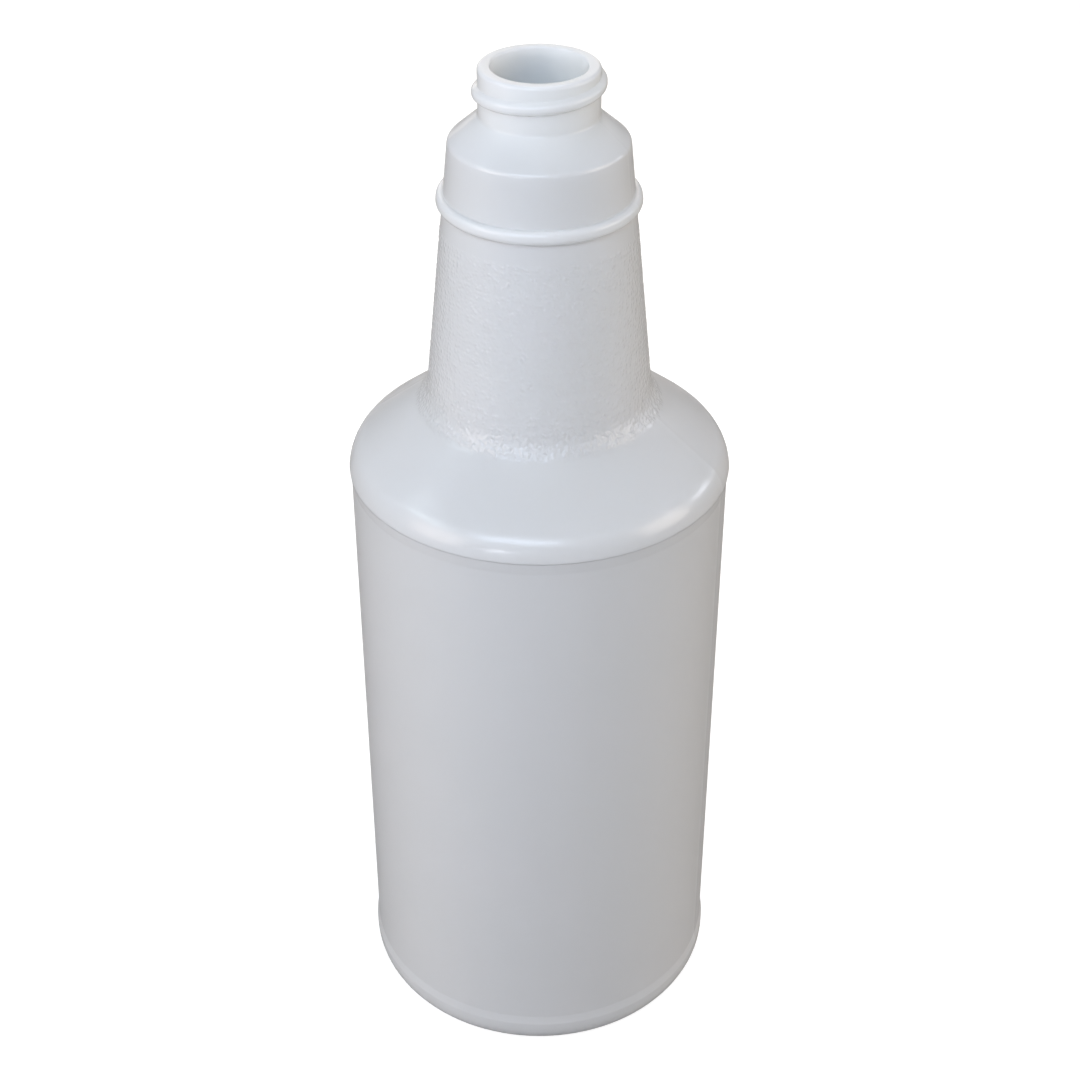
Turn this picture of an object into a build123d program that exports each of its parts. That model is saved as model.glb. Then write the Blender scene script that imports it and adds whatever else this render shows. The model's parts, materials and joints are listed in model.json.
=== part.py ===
"""Graduated bottle of natural polyethylene, blow-moulded in one piece.

A cylindrical body with raised graduations on its back, a tapered grip above a round
shoulder, and a 28 mm neck finish with one turn of right-hand thread.
Millimetres. The origin is the centre of the standing ring, +Z points up through the
mouth, and the plain front faces -Y. Azimuths are counted from +X towards +Y.
"""
import os
from math import cos, degrees, pi, radians, sin, tan

from build123d import *

# Wall below the neck finish
wall = 1.0

# Label panel, and the bumper below it
panel_diameter = 85.0
panel_height = 134.4
bumper_diameter = 86.0
bumper_height = 8.2
bumper_slope_height = 2.2
heel_radius = 6.5

# Base: standing ring, push-up, and the ridge where the mould pinched the tube off
standing_ring_width = 3.7
standing_ring_chamfer = 0.7
push_up_height = 5.0
push_up_angle = 40.0
pinch_off_length = 52.0
pinch_off_width = 0.9
pinch_off_height = 0.5
parting_azimuth = -19.0

# Shoulder: a small step above the panel, a round edge, and a sloping top
step_height = 2.8
shoulder_diameter = 85.8
shoulder_edge_height = 3.4
shoulder_edge_lean = 6.0
shoulder_edge_radius = 7.4
shoulder_angle = 38.5
root_radius = 9.0

# Tapered grip from the step to the dome, and the bead round it
grip_length = 76.6
grip_top_diameter = 38.0
grip_taper = 5.7
bead_drop = 12.6
bead_radius = 1.4
bead_sides = 10

# Dome between the grip and the neck finish
dome_angle = 41.0
dome_foot_chamfer = 0.4
neck_root_chamfer = 0.4

# Neck finish, thicker than the body
finish_height = 10.24
finish_diameter = 25.2
mouth_bore = 20.0
rim_outer_chamfer = 0.6
rim_inner_chamfer = 0.5

# Thread: one right-hand turn that fades out at both ends, behind the bottle
thread_diameter = 27.6
thread_pitch = 4.233
thread_width = 2.4
thread_sweep = 380.0
thread_run_out = 32.0
thread_middle_azimuth = 270.0
thread_middle_drop = 4.4
thread_burial = 0.2
thread_flats = 5
thread_stations = 20

# Graduations: two columns of raised bars on the back of the panel
millilitre = 1000.0
ounce = 29.574 * millilitre
ounce_step = 2
millilitre_step = 50
bar_relief = 0.35
bar_thickness = 1.0
bar_draft = 0.15
long_bar = 15.0
short_bar = 8.0
column_gap = 5.0
scale_azimuth = 90.0

# Radii and heights that follow
panel_radius = panel_diameter / 2
bumper_radius = bumper_diameter / 2
finish_radius = finish_diameter / 2
bore_radius = mouth_bore / 2
dome_foot_radius = grip_top_diameter / 2
taper = tan(radians(grip_taper))
panel_bottom = bumper_height + bumper_slope_height
panel_top = panel_bottom + panel_height
step_top = panel_top + step_height
dome_foot_height = step_top + grip_length
bead_height = dome_foot_height - bead_drop
neck_root_height = dome_foot_height + (dome_foot_radius - finish_radius) * tan(radians(dome_angle))
overall_height = neck_root_height + finish_height


def grip_radius(height):
    """Radius of the tapered grip at a height."""
    return dome_foot_radius + (dome_foot_height - height) * taper


# Corners of the outside, before the broad ones are rounded
heel = (bumper_radius, 0)
ring_inner = (bumper_radius - heel_radius - standing_ring_width, 0)
push_up_edge = (ring_inner[0] - push_up_height * tan(radians(push_up_angle)), push_up_height)
edge = (
    shoulder_diameter / 2 - shoulder_edge_height * tan(radians(shoulder_edge_lean)),
    step_top + shoulder_edge_height,
)
slope = tan(radians(shoulder_angle))
root_across = (grip_radius(edge[1]) - taper * slope * edge[0]) / (1 - taper * slope)
root = (root_across, edge[1] + (edge[0] - root_across) * slope)
dome_foot = (dome_foot_radius, dome_foot_height)
neck_root = (finish_radius, neck_root_height)

# Broad bends: the corner, the radius that rounds it and the angle that it turns through
bends = (
    (heel, heel_radius, 90),
    (edge, shoulder_edge_radius, 90 - shoulder_angle - shoulder_edge_lean),
    (root, root_radius, 90 - shoulder_angle - grip_taper),
)


def radial_plane(azimuth):
    """Plane through the axis: its X points outwards at the azimuth, its Y points up."""
    outwards = (cos(radians(azimuth)), sin(radians(azimuth)), 0)
    return Plane(origin=(0, 0, 0), x_dir=outwards, z_dir=(outwards[1], -outwards[0], 0))


def nearest(section, point):
    """Corner of a section that lies nearest to a point."""
    return section.vertices().sort_by_distance(point)[0]


# Outside of the body as a half section, from the push-up to the foot of the finish
with BuildSketch(Plane.XZ) as sharp_section:
    with BuildLine():
        Polyline(
            (0, push_up_height),
            push_up_edge,
            ring_inner,
            heel,
            (bumper_radius, bumper_height),
            (panel_radius, panel_bottom),
            (panel_radius, panel_top),
            (shoulder_diameter / 2, step_top),
            edge,
            root,
            dome_foot,
            neck_root,
            (0, neck_root_height),
            close=True,
        )
    make_face()

# Inside of the body: the air pressed the plastic on the mould at one thickness. Each broad
# bend is a cone there, and lies as deep as the round outside at its middle
with BuildSketch(Plane.XZ) as hollow_section:
    add(sharp_section.sketch_local)
    for corner, radius, turn in bends:
        chamfer(nearest(hollow_section, corner), radius * (tan(radians(turn / 2)) - tan(radians(turn / 4))))
    mirror(about=Plane.YZ)
    offset(amount=-wall, kind=Kind.INTERSECTION, mode=Mode.REPLACE)
    split(bisect_by=Plane.YZ)

# The whole wall as a half section: the bead, too slim to be blown hollow, fills its
# groove in the mould, and the finish has a straight bore
bore_foot = (bore_radius, neck_root_height - wall)
with BuildSketch(Plane.XZ) as wall_section:
    add(sharp_section.sketch_local)
    for corner, radius, turn in bends:
        fillet(nearest(wall_section, corner), radius)
    with Locations((grip_radius(bead_height), bead_height)):
        RegularPolygon(bead_radius, bead_sides)
    with Locations((0, neck_root_height)):
        Rectangle(finish_radius, overall_height - neck_root_height, align=(Align.MIN, Align.MIN))
    add(hollow_section.sketch_local, mode=Mode.SUBTRACT)
    with Locations((0, overall_height)):
        Rectangle(
            bore_radius,
            overall_height - bore_foot[1],
            align=(Align.MIN, Align.MAX),
            mode=Mode.SUBTRACT,
        )
    chamfer(nearest(wall_section, ring_inner), standing_ring_chamfer)
    chamfer(nearest(wall_section, (finish_radius, overall_height)), rim_outer_chamfer)
    chamfer(nearest(wall_section, (bore_radius, overall_height)), rim_inner_chamfer)
    chamfer(nearest(wall_section, dome_foot), dome_foot_chamfer)
    chamfer(nearest(wall_section, neck_root), neck_root_chamfer)

# Space inside the body up to the panel, which says how high each volume stands, and the
# volume at the highest place for a bar
with BuildPart() as foot_space:
    revolve(hollow_section.sketch, axis=Axis.Z)
    split(bisect_by=Plane.XY.offset(panel_bottom), keep=Keep.BOTTOM)
panel_area = pi * (panel_radius - wall) ** 2
zero_height = panel_bottom - foot_space.part.volume / panel_area
scale_capacity = (panel_top - bar_thickness - zero_height) * panel_area


def thread_face(station):
    """Section of the thread at one station of its turn, a half round made of flats."""
    turned = thread_sweep * station / thread_stations
    azimuth = thread_middle_azimuth - thread_sweep / 2 + turned
    height = overall_height - thread_middle_drop + thread_pitch * (turned - thread_sweep / 2) / 360
    to_end = min(turned, thread_sweep - turned)
    fade = sin(radians(90 * min(1, to_end / thread_run_out)))
    side_radius = finish_radius - thread_burial
    end_crest = side_radius + thread_burial / 2
    crest_radius = end_crest + (thread_diameter / 2 - end_crest) * fade
    mid_wall = (finish_radius + bore_radius) / 2
    low, high = height - thread_width / 2, height + thread_width / 2
    round_side = [
        (
            side_radius + (crest_radius - side_radius) * sin(pi * flat / thread_flats),
            height - thread_width / 2 * cos(pi * flat / thread_flats),
        )
        for flat in range(thread_flats + 1)
    ]
    with BuildSketch(radial_plane(azimuth)) as face:
        with BuildLine():
            Polyline((mid_wall, low), *round_side, (mid_wall, high), close=True)
        make_face()
    return face.sketch


def scale_bars(step_volume, side):
    """One column of raised bars, one for each step of volume, every second one long."""
    gap_angle = degrees(column_gap / 2 / panel_radius)
    for count in range(1, int(scale_capacity / step_volume) + 1):
        height = zero_height + count * step_volume / panel_area
        length = short_bar if count % 2 else long_bar
        sweep = degrees(length / panel_radius)
        start = scale_azimuth + gap_angle if side > 0 else scale_azimuth - gap_angle - sweep
        with BuildSketch(radial_plane(start)) as bar:
            with BuildLine():
                Polyline(
                    (panel_radius - wall / 2, height - bar_thickness / 2),
                    (panel_radius, height - bar_thickness / 2),
                    (panel_radius + bar_relief, height - bar_thickness / 2 + bar_draft),
                    (panel_radius + bar_relief, height + bar_thickness / 2 - bar_draft),
                    (panel_radius, height + bar_thickness / 2),
                    (panel_radius - wall / 2, height + bar_thickness / 2),
                    close=True,
                )
            make_face()
        yield revolve(bar.sketch, axis=Axis.Z, revolution_arc=sweep, mode=Mode.PRIVATE)


with BuildPart() as bottle:
    revolve(wall_section.sketch, axis=Axis.Z)

    # Thread
    loft([thread_face(station) for station in range(thread_stations + 1)])

    # Graduations: ounces on one side of the gap, millilitres on the other
    add(list(scale_bars(ounce_step * ounce, -1)))
    add(list(scale_bars(millilitre_step * millilitre, 1)))

    # Pinch-off ridge across the push-up, in line with the mould's parting line
    with BuildSketch(radial_plane(parting_azimuth)):
        with Locations((0, push_up_height + wall / 2)):
            Rectangle(pinch_off_length, pinch_off_height + wall / 2, align=(Align.CENTER, Align.MAX))
    extrude(amount=pinch_off_width / 2, both=True)

bottle.part.label = "bottle"
os.makedirs("parts", exist_ok=True)
export_step(bottle.part, "parts/bottle.step")
print(f"bottle: {len(bottle.part.solids())} solid, {bottle.part.volume / millilitre:.1f} ml of plastic")
print(f"overall height {overall_height:.2f} mm")
print(f"graduations count from {zero_height:.2f} mm, up to {scale_capacity / millilitre:.0f} ml")
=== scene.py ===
# %% [markdown]
# # A graduated bottle, blown from natural polyethylene
#
# The real bottle starts as a hot tube of plastic. Two mould halves close on it, air blows it
# against their walls, and it comes out as one piece, with its thread, its bead, its pebbled
# grip and its graduations all pressed by the same mould. The lesson follows that: one turned
# wall, with the mould's relief on it, and one milky material.

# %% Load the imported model, which is the fixed frame of the lesson
import json
from math import cos, pi, radians, sin, tan

import bmesh
import bpy
import numpy as np
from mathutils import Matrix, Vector


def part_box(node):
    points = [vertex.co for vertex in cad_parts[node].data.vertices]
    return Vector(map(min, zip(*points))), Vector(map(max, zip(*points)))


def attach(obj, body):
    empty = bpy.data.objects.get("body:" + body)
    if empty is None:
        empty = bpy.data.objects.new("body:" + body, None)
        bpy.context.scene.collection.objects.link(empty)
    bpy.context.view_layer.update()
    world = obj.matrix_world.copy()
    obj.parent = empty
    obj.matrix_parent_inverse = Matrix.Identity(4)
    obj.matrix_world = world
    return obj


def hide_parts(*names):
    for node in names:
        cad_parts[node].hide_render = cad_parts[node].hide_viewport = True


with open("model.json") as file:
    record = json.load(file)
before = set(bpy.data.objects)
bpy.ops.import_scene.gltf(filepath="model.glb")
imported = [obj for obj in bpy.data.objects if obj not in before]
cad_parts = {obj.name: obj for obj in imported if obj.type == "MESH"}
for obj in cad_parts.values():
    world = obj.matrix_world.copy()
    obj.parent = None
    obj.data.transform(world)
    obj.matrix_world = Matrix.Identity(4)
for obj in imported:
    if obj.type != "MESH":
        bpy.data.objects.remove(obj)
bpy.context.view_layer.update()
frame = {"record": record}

# %% [markdown]
# ## Sizes
#
# The frame gives the sizes that must not drift: how tall the bottle is, how wide its bumper
# is and how wide its mouth is. Everything here is in millimetres until a mesh is written,
# because a bottle drawing is.

# %% Measure the frame
mm = 0.001
bottle_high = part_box("bottle")[1]
overall_height = bottle_high.z / mm
bumper_radius = bottle_high.x / mm
mouth = next(mount for mount in frame["record"]["mounts"] if mount["name"] == "mouth")
bore_radius = mouth["dims"]["r_mm"]
print(f"bottle {overall_height:.1f} mm tall and {2 * bumper_radius:.1f} mm wide")
print(f"mouth {2 * bore_radius:.1f} mm across")

# %% [markdown]
# ## The camera
#
# The photograph looks down at the bottle from just in front of it, so its sides narrow
# towards the base. That narrowing fixes the distance, and the ellipse of the mouth fixes the
# angle. The camera stands where both agree.

# %% Camera at the photograph's place
camera_place = Vector((0.15, -378.1, 382.5)) * mm
camera_pitch = 34.28
image_width_px = 1080
focal_length_px = 1960.8
sensor_width = 36.0

camera = bpy.data.objects.new("camera", bpy.data.cameras.new("camera"))
camera.data.sensor_width = sensor_width
camera.data.lens = focal_length_px * sensor_width / image_width_px
camera.data.clip_start = 0.01
camera.location = camera_place
camera.rotation_euler = (radians(90 - camera_pitch), 0, 0)
bpy.context.scene.collection.objects.link(camera)
bpy.context.scene.camera = camera
print(f"camera lens {camera.data.lens:.1f} mm, {camera_pitch} degrees down")

# %% [markdown]
# ## The outline
#
# A blown bottle is a turned form, so one half outline says nearly everything. It is written
# as its corners, each with the radius that the mould maker gave it, and a function turns the
# corners into arcs. A Bezier curve could do the same, but corners with radii stay readable,
# and the inside follows from them by one rule.

# %% Corners of the outside, from the centre of the base up to the finish
wall = 1.0
finish_radius = 12.6
finish_height = 10.24
panel_radius = 42.5
shoulder_radius = 42.9
grip_top_radius = 19.0
grip_taper = 5.7
shoulder_angle = 38.5
dome_angle = 41.0
panel_bottom, panel_top, step_top = 10.4, 144.8, 147.6
neck_root_height = overall_height - finish_height
dome_foot_height = neck_root_height - (grip_top_radius - finish_radius) * tan(radians(dome_angle))


def grip_radius(height):
    """Radius of the tapered grip at a height."""
    return grip_top_radius + (dome_foot_height - height) * tan(radians(grip_taper))


edge_radius, edge_height = 42.54, 151.0
slope = tan(radians(shoulder_angle))
taper = tan(radians(grip_taper))
root_radius = (grip_radius(edge_height) - taper * slope * edge_radius) / (1 - taper * slope)
root_height = edge_height + (edge_radius - root_radius) * slope
outside_corners = [
    (0.0, 5.6, 0),  # middle of the push-up, which is slightly domed
    (28.6, 4.6, 3.0),  # rim of the push-up
    (32.8, 0.0, 1.2),  # inner edge of the standing ring
    (bumper_radius, 0.0, 6.5),  # heel
    (bumper_radius, 8.2, 0.9),  # top of the bumper
    (panel_radius, panel_bottom, 1.2),
    (panel_radius, panel_top, 0.8),
    (shoulder_radius, step_top, 0.5),  # small step above the panel
    (edge_radius, edge_height, 8.2),  # round edge of the shoulder
    (root_radius, root_height, 9.0),  # soft bend where the grip begins
    (grip_top_radius, dome_foot_height, 1.6),  # foot of the dome
    (finish_radius, neck_root_height, 1.0),  # foot of the neck finish
]
print(f"grip meets the shoulder at radius {root_radius:.1f} mm, height {root_height:.1f} mm")

# %% [markdown]
# ### Arcs, and a parallel inside
#
# Two functions do the drawing. The first replaces each corner by an arc that touches both its
# sides. The second moves every side inwards by the wall. A corner that the outline turns left
# at gets a smaller radius inside, and one that it turns right at a larger one.

# %% Round the corners of an outline


def directions(corners):
    """Unit direction of each side of an outline."""
    places = np.array([corner[:2] for corner in corners])
    sides = np.diff(places, axis=0)
    return places, sides / np.linalg.norm(sides, axis=1)[:, None]


def to_left(direction):
    """The same vector a quarter turn to the left, which is into the plastic on the outside."""
    return np.array([-direction[1], direction[0]])


def rounded(corners, turn_step=9.0):
    """Points of an outline whose corners (radius, height, rounding) are drawn as arcs."""
    places, ways = directions(corners)
    points = [places[0]]
    for place, way_in, way_out, corner in zip(places[1:], ways, ways[1:], corners[1:]):
        turn = np.arctan2(way_in[0] * way_out[1] - way_in[1] * way_out[0], way_in @ way_out)
        if corner[2] == 0 or abs(turn) < 1e-6:
            points.append(place)
            continue
        side = np.sign(turn) * corner[2]
        start = place - way_in * corner[2] * tan(abs(turn) / 2)
        centre = start + to_left(way_in) * side
        count = max(2, int(np.degrees(abs(turn)) / turn_step))
        arm = -to_left(way_in) * side
        for angle in np.linspace(0, turn, count + 1):
            points.append(centre + arm * cos(angle) + to_left(arm) * sin(angle))
    points.append(places[-1])
    return np.array(points)


def inset(corners, depth):
    """Corners of the outline that runs a depth further inside."""
    places, ways = directions(corners)
    ways = np.vstack([ways[:1], ways, ways[-1:]])
    moved = []
    for place, way_in, way_out, corner in zip(places, ways, ways[1:], corners):
        left_in, left_out = to_left(way_in), to_left(way_out)
        shift = (left_in + left_out) / (1 + left_in @ left_out)
        turn_left = way_in[0] * way_out[1] - way_in[1] * way_out[0] > 0
        rounding = max(corner[2] - depth, 0.3) if turn_left else corner[2] + depth
        moved.append((*(place + depth * shift), rounding))
    return moved


# %% [markdown]
# ### The bead
#
# A half round ring runs round the grip. Its upper foot and its lower foot are nearly sharp in
# the mould, so the ring reads as a fine bright line with a shadow under it.

# %% Corners of the bead, written along the cone of the grip
bead_height = 211.6
bead_relief = 1.4
bead_foot, bead_foot_rounding = 1.55, 0.35
bead_crest, bead_crest_rounding = 1.4, 1.25


def on_grip(along, out):
    """Point by its distance up the cone from the bead's middle, and out of the cone."""
    up = (-sin(radians(grip_taper)), cos(radians(grip_taper)))
    return (
        grip_radius(bead_height) + along * up[0] + out * up[1],
        bead_height + along * up[1] - out * up[0],
    )


bead_corners = [
    (*on_grip(-bead_foot, 0), bead_foot_rounding),
    (*on_grip(-bead_crest, bead_relief), bead_crest_rounding),
    (*on_grip(bead_crest, bead_relief), bead_crest_rounding),
    (*on_grip(bead_foot, 0), bead_foot_rounding),
]
print(f"bead {2 * bead_foot} mm wide, {bead_relief} mm high")

# %% Whole outline: outside with the bead, rim, and inside with the straight bore
dome_at = next(i for i, corner in enumerate(outside_corners) if corner[0] == grip_top_radius)
rim_corners = [(finish_radius, overall_height, 0.8), (bore_radius, overall_height, 0.4)]
inside_corners = inset(outside_corners, wall)
ledge_height = inside_corners[-1][1]
inside_corners[-1] = (bore_radius, ledge_height, 0.6)
inside_corners[0] = (0.0, *inside_corners[0][1:])
outer_corners = outside_corners[:dome_at] + bead_corners + outside_corners[dome_at:] + rim_corners
inner_corners = rim_corners[-1:] + inside_corners[::-1]
rim_middle = ((finish_radius + bore_radius) / 2, overall_height, 0)
outer_outline = rounded(outer_corners[:-1] + [rim_middle])
inner_outline = rounded([rim_middle] + inner_corners, turn_step=22)
print(f"outline of {len(outer_outline)} points outside and {len(inner_outline)} inside")

# %% [markdown]
# ## Where the mesh needs to be fine
#
# A turned mesh is rows of rings. Most of the bottle is plain and takes wide rows. The
# pebbled grip has a bump every millimetre or so, and each bump needs about four points
# across, so its rows lie 0.3 mm apart and its rings have four times as many points. The
# thread needs fine rows, but not the extra points round it.

# %% Spacing of the rows
plain_spacing = 9.0
grain_spacing = 0.33
thread_spacing = 0.16
grain_top = 205.8
grain_bottom = root_height - 9
grain_foot_radius = 27.2
neck_root_rounding_top = neck_root_height + 1


def spaced(points, spacing_at):
    """Outline with points added on the runs that are longer than the spacing there."""
    result = [points[0]]
    for here, there in zip(points, points[1:]):
        spacing = spacing_at((here + there) / 2)
        parts = max(1, int(np.ceil(np.linalg.norm(there - here) / spacing)))
        for part in range(1, parts + 1):
            result.append(here + (there - here) * part / parts)
    return np.array(result)


def in_grain(point):
    """Whether a point of the outside lies in the pebbled zone."""
    return grain_bottom < point[1] < grain_top and point[0] < grain_foot_radius


def outside_spacing(point):
    """Distance between rows on the outside."""
    if in_grain(point):
        return grain_spacing
    if point[1] > neck_root_rounding_top:
        return thread_spacing
    return plain_spacing


print(f"pebbles up to {grain_top} mm, and down the shoulder to a radius of {grain_foot_radius} mm")

# %% [markdown]
# ## Relief from the mould
#
# Two things change with the angle round the bottle, so no outline can hold them: the thread
# and the pebbles. Both are heights above the turned wall. A texture in the material could
# fake the pebbles, but they catch light one by one and show in the outline, so they are real.

# %% Relief of the thread
thread_relief = 1.2
thread_width = 2.9
thread_pitch = 4.233
thread_sweep = 380.0
thread_run_out = 32.0
thread_middle_azimuth = 270.0
thread_middle_drop = 4.4


def thread_at(azimuth, height):
    """Height of the thread's ridge above the neck wall, for an array of azimuths."""
    relief = np.zeros_like(azimuth)
    start = thread_middle_azimuth - thread_sweep / 2
    first = np.mod(azimuth - start, 360)
    for turned in (first, first + 360):
        from_middle = (turned - thread_sweep / 2) / 360
        middle = overall_height - thread_middle_drop + thread_pitch * from_middle
        to_end = np.minimum(turned, thread_sweep - turned)
        fade = np.sin(pi / 2 * np.clip(to_end / thread_run_out, 0, 1))
        across = np.clip(np.abs(height - middle) / (thread_width / 2), 0, 1)
        ridge = np.cos(pi / 2 * across**1.5) ** 0.9
        relief = np.maximum(relief, thread_relief * fade * ridge)
    return relief


print(f"thread of {thread_sweep:.0f} degrees, {thread_pitch} mm a turn, {thread_relief} mm high")

# %% [markdown]
# ### Pebbles
#
# The mould maker etched the grip, so that a wet hand holds it. Each cell of a shaken brick
# pattern gets one rounded bump. They stand highest on the bend at the foot of the grip, and
# half as high further up.

# %% Relief of the pebbles
pebble_pitch = 1.15
pebble_relief = 0.17
grip_share = 0.5
root_foot_radius, grip_blend = 25.6, 3.0
pebble_stretch = 1.15
grain_edge = 0.5
rng = np.random.default_rng(7)
mean_grip_radius = 24.0
pebbles_round = int(2 * pi * mean_grip_radius / pebble_pitch)
pebble_rows = 48
pebble_shift = rng.uniform(-0.27, 0.27, (pebble_rows, pebbles_round, 2))
pebble_size = rng.uniform(0.75, 1.15, (pebble_rows, pebbles_round))


def pebbles_at(azimuth, along, radius, to_border):
    """Height of the pebbles for a ring: along is its distance down the grain zone."""
    cell_width = 2 * pi * radius / pebbles_round
    column = azimuth / 360 * pebbles_round
    row = along / pebble_pitch
    relief = np.zeros_like(azimuth)
    for near_row in (int(row) - 1, int(row), int(row) + 1):
        offset = 0.5 * (near_row % 2)
        for step in (-1, 0, 1):
            near_column = np.floor(column - offset) + step
            j = np.mod(near_column, pebbles_round).astype(int)
            i = near_row % pebble_rows
            across = (column - near_column - offset - 0.5 - pebble_shift[i, j, 0]) * cell_width
            down = (row - near_row - 0.5 - pebble_shift[i, j, 1]) * pebble_pitch
            reach = 0.5 * pebble_size[i, j] * pebble_pitch
            distance = np.clip(np.hypot(across, down / pebble_stretch) / reach, 0, 1)
            pebble = pebble_relief * pebble_size[i, j] * np.cos(pi / 2 * distance)
            relief = np.maximum(relief, pebble)
    up_the_grip = min(1, max(0, (root_foot_radius - radius) / grip_blend))
    return relief * (1 - (1 - grip_share) * up_the_grip) * min(1, to_border / grain_edge)


print(f"{pebbles_round} pebbles round the grip, {pebble_relief} mm high")

# %% [markdown]
# ## The turned wall
#
# Blender's Screw modifier turns an outline too, but every ring then has the same number of
# points. Here the rings are written one by one, so that the pebbled ones can have four times
# as many, and a row of seven-sided faces joins the two kinds.

# %% Rows of the wall, up the outside and down the inside
outside_rows = spaced(outer_outline, outside_spacing)
inside_rows = spaced(inner_outline, lambda point: plain_spacing)[1:]
rows = np.vstack([outside_rows, inside_rows])
steps = np.gradient(rows, axis=0)
outwards = np.column_stack([steps[:, 1], -steps[:, 0]])
outwards /= np.linalg.norm(outwards, axis=1)[:, None]
along = np.concatenate([[0], np.cumsum(np.linalg.norm(np.diff(rows, axis=0), axis=1))])
on_outside = np.arange(len(rows)) < len(outside_rows)
is_grain = np.array([outside and in_grain(row) for outside, row in zip(on_outside, rows)])
grain_start, grain_end = along[is_grain][0], along[is_grain][-1]
print(f"{len(rows)} rows, {int(is_grain.sum())} of them pebbled")

# %% [markdown]
# ### The seam
#
# Where the two halves of the mould met, a hair of plastic stands out all the way up. It is
# only 0.02 mm high, and three columns of points that lie close together carry it.

# %% Columns of the wall, with three at each seam
plain_points = 112
grain_factor = 4
parting_azimuth = -19.0
seam_width, seam_relief = 0.4, 0.02
seam_bottom, seam_top = 5.0, overall_height - 1.5
clear_of_seam = 0.8
seam_columns = [np.degrees(step * seam_width / 2 / panel_radius) for step in (-1, 0, 1)]
plain_azimuths = np.arange(plain_points) * 360 / plain_points
for middle in (parting_azimuth, parting_azimuth + 180):
    apart = np.abs(np.mod(plain_azimuths - middle + 180, 360) - 180)
    at_seam = [(middle + step) % 360 for step in seam_columns]
    plain_azimuths = np.append(plain_azimuths[apart > clear_of_seam], at_seam)
plain_azimuths = np.sort(plain_azimuths)
gaps = np.diff(np.append(plain_azimuths, plain_azimuths[0] + 360))
parts = np.arange(grain_factor) / grain_factor
grain_azimuths = (plain_azimuths[:, None] + gaps[:, None] * parts).ravel()


def seam_at(azimuth):
    """Height of the seam, which is a low ridge on the columns at the parting azimuth."""
    from_seam = np.abs(np.mod(azimuth - parting_azimuth + 90, 180) - 90)
    return seam_relief * np.clip(1 - from_seam / seam_columns[-1], 0, 1)


print(f"{len(plain_azimuths)} columns, and {len(grain_azimuths)} in the pebbles")

# %% Rings of the wall
vertices, rings = [], []
for i, (radius, height) in enumerate(rows):
    if radius < 1e-6:
        rings.append([len(vertices)])
        vertices.append((0.0, 0.0, height * mm))
        continue
    azimuth = grain_azimuths if is_grain[i] else plain_azimuths
    relief = np.zeros(len(azimuth))
    if on_outside[i] and seam_bottom < height < seam_top:
        relief = seam_at(azimuth) * radius / panel_radius
    if on_outside[i] and height > neck_root_height:
        relief = np.maximum(relief, thread_at(azimuth, height))
    if is_grain[i]:
        to_border = min(along[i] - grain_start, grain_end - along[i])
        relief = np.maximum(relief, pebbles_at(azimuth, grain_end - along[i], radius, to_border))
    ring_radius = radius + relief * outwards[i, 0]
    ring_height = height + relief * outwards[i, 1]
    turn = np.radians(azimuth)
    rings.append(list(range(len(vertices), len(vertices) + len(azimuth))))
    places = np.column_stack([ring_radius * np.cos(turn), ring_radius * np.sin(turn), ring_height])
    vertices.extend(map(tuple, places * mm))
print(f"{len(rings)} rings of {len(vertices)} points")

# %% Faces between the rings


def between(lower, upper):
    """Faces that join two rings, the lower one first, seen from outside."""
    if len(lower) == 1 or len(upper) == 1:
        ring, centre = (upper, lower[0]) if len(lower) == 1 else (lower, upper[0])
        pairs = zip(ring, ring[1:] + ring[:1])
        return [(a, centre, b) if len(lower) == 1 else (a, b, centre) for a, b in pairs]
    few, many = sorted((lower, upper), key=len)
    factor = len(many) // len(few)
    faces = []
    for k in range(len(few)):
        strip = [many[(k * factor + step) % len(many)] for step in range(factor + 1)]
        here, there = few[k], few[(k + 1) % len(few)]
        faces.append((here, there, *strip[::-1]) if few is lower else (*strip, there, here))
    return faces


faces = [face for lower, upper in zip(rings, rings[1:]) for face in between(lower, upper)]
print(f"wall of {sum(len(face) - 2 for face in faces)} triangles")


def new_object(name, points, polygons):
    """Mesh object in the scene, from its points in metres and its polygons."""
    made = bpy.data.meshes.new(name)
    made.from_pydata(points, [], polygons)
    made.validate()
    linked = bpy.data.objects.new(name, made)
    bpy.context.scene.collection.objects.link(linked)
    return linked


bottle = new_object("bottle_wall", vertices, faces)
bottle.data.shade_smooth()

# %% [markdown]
# ## Lines cut into the mould
#
# The bars of the scale and the pinch-off under the base, where the mould bit the hot tube
# shut, are low ridges. One function sweeps a low trapezium along a path, and closes its ends.

# %% Sweep a low ridge along a path
ridge_points, ridge_faces = [], []


def add_ridge(path, normals, width, relief, draft):
    """Closed ridge along a path, given the outward normal at each of its points."""
    burial = 0.3
    corners = [
        (-width / 2, -burial),
        (-width / 2, 0),
        (-width / 2 + draft, relief),
        (width / 2 - draft, relief),
        (width / 2, 0),
        (width / 2, -burial),
    ]
    sideways = np.cross(np.gradient(np.array(path), axis=0), normals)
    sideways /= np.linalg.norm(sideways, axis=1)[:, None]
    start, size = len(ridge_points), len(corners)
    for place, normal, side in zip(path, normals, sideways):
        section = [place + across * side + out * normal for across, out in corners]
        ridge_points.extend(tuple(point * mm) for point in section)
    for here in range(start, start + (len(path) - 1) * size, size):
        for k in range(size):
            after = (k + 1) % size
            ridge_faces.append((here + k, here + after, here + size + after, here + size + k))
    last = start + (len(path) - 1) * size
    ridge_faces.append(tuple(range(start + size - 1, start - 1, -1)))
    ridge_faces.append(tuple(range(last, last + size)))


def outward_at(azimuth):
    """Level unit vector away from the axis at an azimuth in degrees."""
    return np.array([cos(radians(azimuth)), sin(radians(azimuth)), 0.0])


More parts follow.
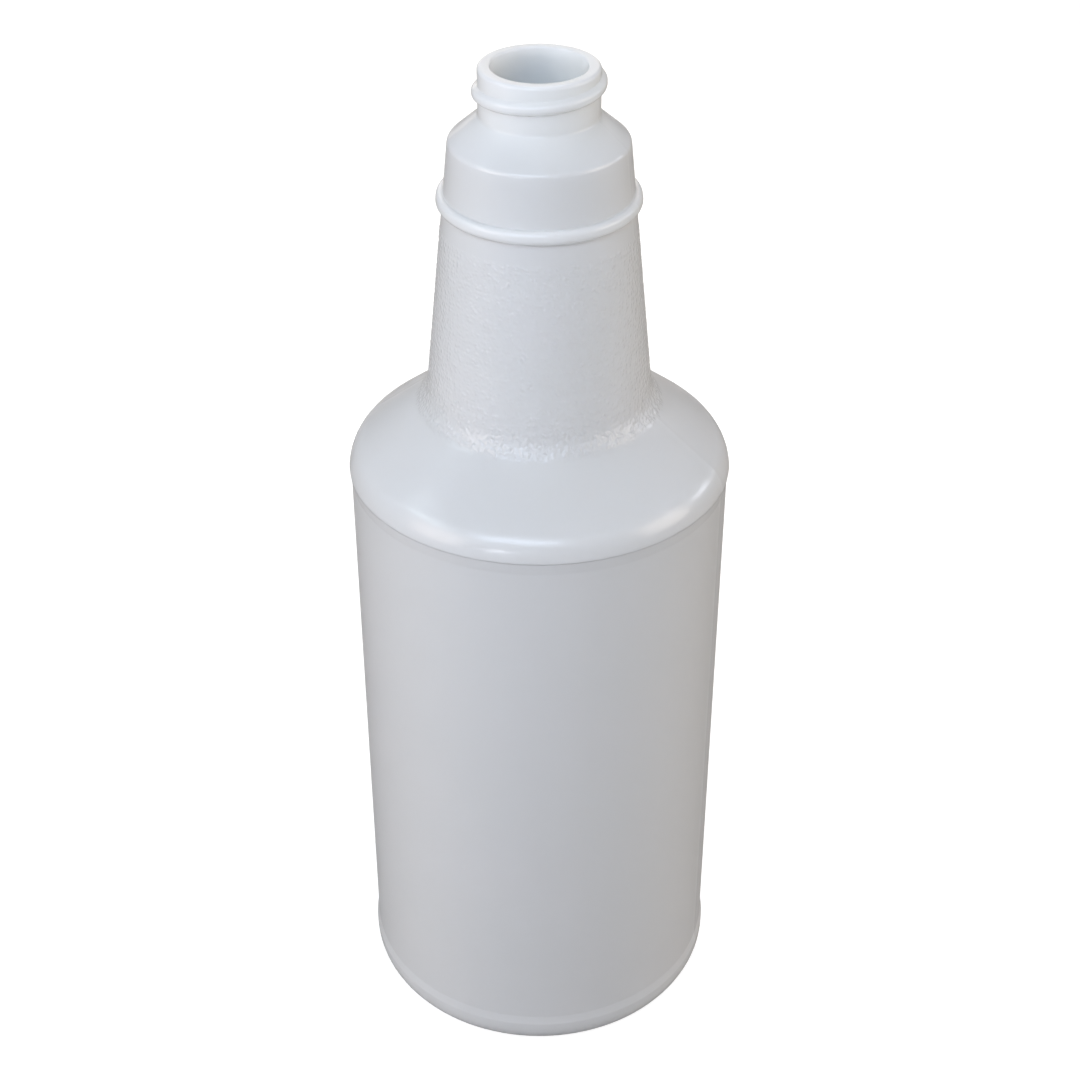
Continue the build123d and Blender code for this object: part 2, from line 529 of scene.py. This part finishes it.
# %% [markdown]
# ### The scale
#
# The bars stand where the volume below them says, so their heights come from the inside of
# the bottle: the panel holds 5.41 ml in each millimetre of height, and the heel and the
# push-up make the count start a little above the table.

# %% Bars: fluid ounces on one side of the gap, millilitres on the other
panel_area = pi * (panel_radius - wall) ** 2
zero_height = 3.87  # where the count would start if the panel went on to the bottom
ounce = 29574.0
millilitre = 1000.0
bar_thickness, bar_relief, bar_draft = 1.0, 0.35, 0.15
long_bar, short_bar, column_gap = 15.0, 8.0, 5.0
scale_azimuth = 90.0
bar_column = 3.0
top_volume = (panel_top - bar_thickness - zero_height) * panel_area
long_bar_heights = {}
for unit, step, side in (("oz", 2 * ounce, -1), ("ml", 50 * millilitre, 1)):
    long_bar_heights[unit] = []
    for count in range(1, int(top_volume / step) + 1):
        height = zero_height + count * step / panel_area
        length = short_bar if count % 2 else long_bar
        near = scale_azimuth + side * np.degrees(column_gap / 2 / panel_radius)
        far = near + side * np.degrees(length / panel_radius)
        columns = max(2, round(abs(far - near) / bar_column))
        azimuths = np.linspace(min(near, far), max(near, far), columns + 1)
        ways = [outward_at(azimuth) for azimuth in azimuths]
        path = [way * panel_radius + np.array([0, 0, height]) for way in ways]
        add_ridge(path, ways, bar_thickness, bar_relief, bar_draft)
        if count % 2 == 0:
            long_bar_heights[unit].append(height)
print({unit: len(heights) for unit, heights in long_bar_heights.items()}, "long bars")

# %% [markdown]
# ### The numbers
#
# Numbers stand beside the long bars. They are Blender text turned into mesh, and then bent
# round the panel: the text's own left to right becomes an angle, and its depth a radius.

# %% Numbers beside the long bars
digit_size = 5.4
number_gap = 1.6
for unit, step, side in (("oz", 4, -1), ("ml", 100, 1)):
    for place, height in enumerate(long_bar_heights[unit], start=1):
        text = bpy.data.curves.new("number", "FONT")
        text.body = f"{place * step}"
        if place == len(long_bar_heights[unit]):
            text.body += f" {unit}"
        text.size = digit_size
        text.extrude = bar_relief
        text.resolution_u = 3
        text.align_x = "LEFT" if side > 0 else "RIGHT"
        text.align_y = "CENTER"
        helper = bpy.data.objects.new("number", text)
        letters = bmesh.new()
        letters.from_mesh(helper.to_mesh())
        bmesh.ops.remove_doubles(letters, verts=letters.verts, dist=0.001)
        start = len(ridge_points)
        edge_angle = side * (column_gap / 2 + long_bar + number_gap) / panel_radius
        for vertex in letters.verts:
            angle = radians(scale_azimuth) + edge_angle + vertex.co.x / panel_radius
            radius = panel_radius + vertex.co.z
            place_on_panel = (radius * cos(angle), radius * sin(angle), height + vertex.co.y)
            ridge_points.append(tuple(np.array(place_on_panel) * mm))
        for face in letters.faces:
            ridge_faces.append(tuple(start + vertex.index for vertex in face.verts))
        letters.free()
        helper.to_mesh_clear()
        bpy.data.objects.remove(helper)
        bpy.data.curves.remove(text)
print(f"{len(ridge_faces)} faces of bars and numbers")

# %% Pinch-off across the push-up, in line with the seam
pinch_off_length, pinch_off_width, pinch_off_relief = 52.0, 0.9, 0.5
push_up_middle, push_up_rim = outside_corners[:2]
path = []
for across in np.linspace(-pinch_off_length / 2, pinch_off_length / 2, 9):
    share = abs(across) / push_up_rim[0]
    height = push_up_middle[1] * (1 - share) + push_up_rim[1] * share
    path.append(outward_at(parting_azimuth) * across + np.array([0, 0, height]))
downwards = [np.array([0, 0, -1.0])] * len(path)
add_ridge(path, downwards, pinch_off_width, pinch_off_relief, draft=0.1)
print(f"pinch-off {pinch_off_length} mm long")

# %% [markdown]
# ### One skin
#
# The ridges are only sunk into the wall so far. Light that wanders inside the plastic would
# stop at their hidden undersides and leave them dark, so a boolean makes one skin of it all.

# %% Unite the ridges with the wall
ridges = new_object("ridges", ridge_points, ridge_faces)
union = bottle.modifiers.new("one_skin", "BOOLEAN")
union.operation = "UNION"
union.solver = "EXACT"
union.object = ridges
evaluated = bottle.evaluated_get(bpy.context.evaluated_depsgraph_get())
united = bpy.data.meshes.new_from_object(evaluated)
bottle.modifiers.remove(union)
united.set_sharp_from_angle(angle=radians(50))  # bars and numbers keep their edges
bottle.data = united
bpy.data.objects.remove(ridges)
print(f"bottle of {sum(len(polygon.vertices) - 2 for polygon in united.polygons)} triangles")

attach(bottle, "root")
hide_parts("bottle")

# %% [markdown]
# ## Natural polyethylene
#
# High-density polyethylene with no pigment is milky: light goes a few millimetres into it and
# comes out somewhere else, so a one millimetre wall glows with the light of the inside. A
# mixture of Transmission and Translucent shaders could imitate that, but they know nothing of
# the wall's thickness. Subsurface scattering does, because the wall is a real closed skin.

# %% Colours, and a helper that adds a node with its settings and links


def srgb(code):
    """Linear colour from an sRGB hex value."""
    channels = [int(code[i:i + 2], 16) / 255 for i in (0, 2, 4)]
    return [c / 12.92 if c <= 0.04045 else ((c + 0.055) / 1.055) ** 2.4 for c in channels] + [1.0]


def add_node(tree, kind, settings=None, **inputs):
    """Node with attributes from settings, and sockets by name, or by number as in_0."""
    node = tree.nodes.new(kind)
    for name, value in (settings or {}).items():
        setattr(node, name, value)
    for name, value in inputs.items():
        socket = node.inputs[int(name[3:]) if name.startswith("in_") else name.replace("_", " ")]
        if isinstance(value, bpy.types.NodeSocket):
            tree.links.new(value, socket)
        else:
            socket.default_value = value
    return node


def new_material(name):
    """Empty node material and its node tree."""
    material = bpy.data.materials.new(name)
    material.use_nodes = True
    material.node_tree.nodes.clear()
    return material, material.node_tree


# %% Skin of the plastic: a blown wall is never quite flat, which breaks up long reflections
polyethylene, tree = new_material("natural_polyethylene")
place = add_node(tree, "ShaderNodeTexCoord").outputs["Object"]
orange_peel_size, orange_peel_depth = 2.5, 0.05
orange_peel = add_node(
    tree,
    "ShaderNodeTexNoise",
    Vector=place,
    Scale=1 / (orange_peel_size * mm),
    Detail=3.0,
)
skin = add_node(
    tree,
    "ShaderNodeBump",
    Height=orange_peel.outputs["Fac"],
    Strength=0.12,
    Distance=orange_peel_depth * mm,
)

# %% [markdown]
# ### Fine grain on the grip
#
# The pebbles are in the mesh, but what glitters on them is too fine for it. A bump adds it: a
# rounded dot in each cell of a Voronoi pattern, faded out at both ends of the pebbled zone. The
# dots are 0.95 mm apart and 0.08 mm high, as near as the photograph's glints can tell.

# %% Dots on the pebbled zone
dot_pitch, dot_relief = 0.95, 0.08
dot_edge, dot_crown = 0.6, 0.1  # distance from the cell's middle, in cells
grain_foot, foot_fade, top_fade = 162.5, 1.5, 0.8
soft = {"interpolation_type": "SMOOTHSTEP"}
cells = add_node(
    tree,
    "ShaderNodeTexVoronoi",
    Vector=place,
    Scale=1 / (dot_pitch * mm),
    Randomness=0.7,
)
dots = add_node(
    tree,
    "ShaderNodeMapRange",
    soft,
    Value=cells.outputs["Distance"],
    From_Min=dot_edge,
    From_Max=dot_crown,
)
level = add_node(tree, "ShaderNodeSeparateXYZ", Vector=place).outputs["Z"]
above_foot = add_node(
    tree,
    "ShaderNodeMapRange",
    soft,
    Value=level,
    From_Min=grain_foot * mm,
    From_Max=(grain_foot + foot_fade) * mm,
)
below_top = add_node(
    tree,
    "ShaderNodeMapRange",
    soft,
    Value=level,
    From_Min=grain_top * mm,
    From_Max=(grain_top - top_fade) * mm,
)
multiply = {"operation": "MULTIPLY"}
ends = (above_foot.outputs[0], below_top.outputs[0])
zone = add_node(tree, "ShaderNodeMath", multiply, in_0=ends[0], in_1=ends[1])
grain = add_node(tree, "ShaderNodeMath", multiply, in_0=zone.outputs[0], in_1=dots.outputs[0])
grip_skin = add_node(
    tree,
    "ShaderNodeBump",
    Height=grain.outputs[0],
    Strength=1.0,
    Distance=dot_relief * mm,
    Normal=skin.outputs["Normal"],
)
print(f"dots every {dot_pitch} mm from {grain_foot} to {grain_top} mm up")

# %% [markdown]
# ### Milky and waxy
#
# The colour is nearly white, with a faint cloud where the wall's thickness varies. Light
# travels 2 mm in it on average. Polyethylene's index of refraction is 1.5, and a blasted mould
# leaves a satin skin: soft highlights on the round edges and none of a bare lamp's outline.

# %% Principled shader of the polyethylene
cloud_size = 30
cloud = add_node(tree, "ShaderNodeTexNoise", Vector=place, Scale=1 / (cloud_size * mm), Detail=2.0)
tint = add_node(
    tree,
    "ShaderNodeMix",
    {"data_type": "RGBA"},
    Factor=cloud.outputs["Fac"],
    in_6=srgb("f1f3f2"),
    in_7=srgb("f7f8f7"),
)
scattering_depth = 2.0
shader = add_node(
    tree,
    "ShaderNodeBsdfPrincipled",
    Base_Color=tint.outputs[2],
    Roughness=0.24,  # satin: a lamp shows as a soft patch
    IOR=1.5,  # polyethylene
    Subsurface_Weight=1.0,  # all of the colour comes from inside the wall
    Subsurface_Radius=(1.0, 1.0, 1.0),  # no pigment, so every colour goes equally deep
    Subsurface_Scale=scattering_depth * mm,
    Normal=grip_skin.outputs["Normal"],
)
add_node(tree, "ShaderNodeOutputMaterial", Surface=shader.outputs["BSDF"])
bottle.data.materials.clear()
bottle.data.materials.append(polyethylene)
print(f"{polyethylene.name}: light goes {scattering_depth} mm deep")

# %% [markdown]
# ## The studio
#
# The photograph has a white ground. A lit floor is never quite white, so what the camera sees
# of the floor gets light of its own, which falls short of white by the light that the floor
# really receives, and so keeps the shadow. Its satin skin mirrors the low lamps, and that is
# where the two upright streaks on the panel come from.

# %% Floor of coated paper, whose satin skin mirrors a low lamp as a long soft streak
floor_half = 2.5
floor_mesh = bpy.data.meshes.new("floor")
corner_signs = ((-1, -1), (1, -1), (1, 1), (-1, 1))
floor_corners = [(x * floor_half, y * floor_half, 0) for x, y in corner_signs]
floor_mesh.from_pydata(floor_corners, [], [(0, 1, 2, 3)])
floor = bpy.data.objects.new("floor", floor_mesh)
bpy.context.scene.collection.objects.link(floor)
paper, tree = new_material("coated_paper")
seen_by_camera = add_node(tree, "ShaderNodeLightPath").outputs["Is Camera Ray"]
floor_glow = 0.84
lift = add_node(tree, "ShaderNodeMath", multiply, in_0=seen_by_camera, in_1=floor_glow)
table = add_node(
    tree,
    "ShaderNodeBsdfPrincipled",
    Base_Color=srgb("a8a8a8"),
    Roughness=0.22,
    Emission_Color=srgb("ffffff"),
    Emission_Strength=lift.outputs["Value"],
)
add_node(tree, "ShaderNodeOutputMaterial", Surface=table.outputs["BSDF"])
floor_mesh.materials.append(paper)
print(f"floor {2 * floor_half} m wide")

# %% [markdown]
# ### The world
#
# Beyond the floor the camera sees the world, which has the floor's own paleness so that no
# horizon shows. Everything else sees a faint cool sky, which fills the deepest shade.

# %% World: one colour for the camera, another for the light
world = bpy.data.worlds.new("studio")
bpy.context.scene.world = world
world.use_nodes = True
tree = world.node_tree
tree.nodes.clear()
seen_by_camera = add_node(tree, "ShaderNodeLightPath").outputs["Is Camera Ray"]
world_strength = 0.1
faint = add_node(tree, "ShaderNodeBackground", Color=srgb("dfe6ee"), Strength=world_strength)
pale = add_node(tree, "ShaderNodeBackground", Color=srgb("f2f2f2"), Strength=1.0)
choice = add_node(
    tree,
    "ShaderNodeMixShader",
    Fac=seen_by_camera,
    in_1=faint.outputs["Background"],
    in_2=pale.outputs["Background"],
)
add_node(tree, "ShaderNodeOutputWorld", Surface=choice.outputs["Shader"])
print(f"world light {world_strength}")

# %% [markdown]
# ### Lamps
#
# Windows are small and bright, and each leaves one highlight: two on the front of the round
# shoulder and one on its right. A small low lamp makes the pebbles glint. Fills are large and
# only shade the plastic.

# %% A lamp that shines at the bottle
lamp_aim = Vector((0, 0, 140)) * mm


def add_lamp(name, azimuth, elevation, distance, size, power, colour):
    """Rectangular lamp, placed by its direction from the middle of the bottle."""
    lamp = bpy.data.objects.new(f"lamp_{name}", bpy.data.lights.new(f"lamp_{name}", "AREA"))
    lamp.data.shape = "RECTANGLE"
    lamp.data.size, lamp.data.size_y = size
    lamp.data.energy = power
    lamp.data.color = srgb(colour)[:3]
    away = Vector((*outward_at(azimuth)[:2] * cos(radians(elevation)), sin(radians(elevation))))
    lamp.location = lamp_aim + away * distance
    lamp.rotation_euler = away.to_track_quat("Z", "Y").to_euler()
    bpy.context.scene.collection.objects.link(lamp)
    print(f"lamp {name} at azimuth {azimuth}, elevation {elevation}, {power} W")


# %% Lamps: direction in degrees, distance and size in metres, power in watts
add_lamp("front_window", -104, 44, 0.6, (0.42, 0.12), 1.45, "d8e9ff")
add_lamp("front_low", -112, 12, 0.8, (0.09, 0.09), 0.6, "f0f4ff")
add_lamp("left_window", -169, 39, 1.2, (0.5, 0.2), 1.8, "e8faff")
add_lamp("left_fill", -150, 17, 1.3, (0.7, 0.7), 5.9, "fff0e8")
add_lamp("right_window", 20, 16, 1.2, (0.3, 0.16), 1.2, "f0f6ff")
add_lamp("right_fill", -13, 18, 1.3, (0.7, 0.7), 6.4, "fff2e4")
add_lamp("back", 95, 20, 1.3, (1.0, 1.0), 4.0, "fff2e6")
add_lamp("above", 80, 66, 0.9, (0.3, 0.3), 1.5, "eef3ff")

# %% Colours as they are, without a film curve
bpy.context.scene.view_settings.view_transform = "Standard"
print(f"view transform {bpy.context.scene.view_settings.view_transform}")
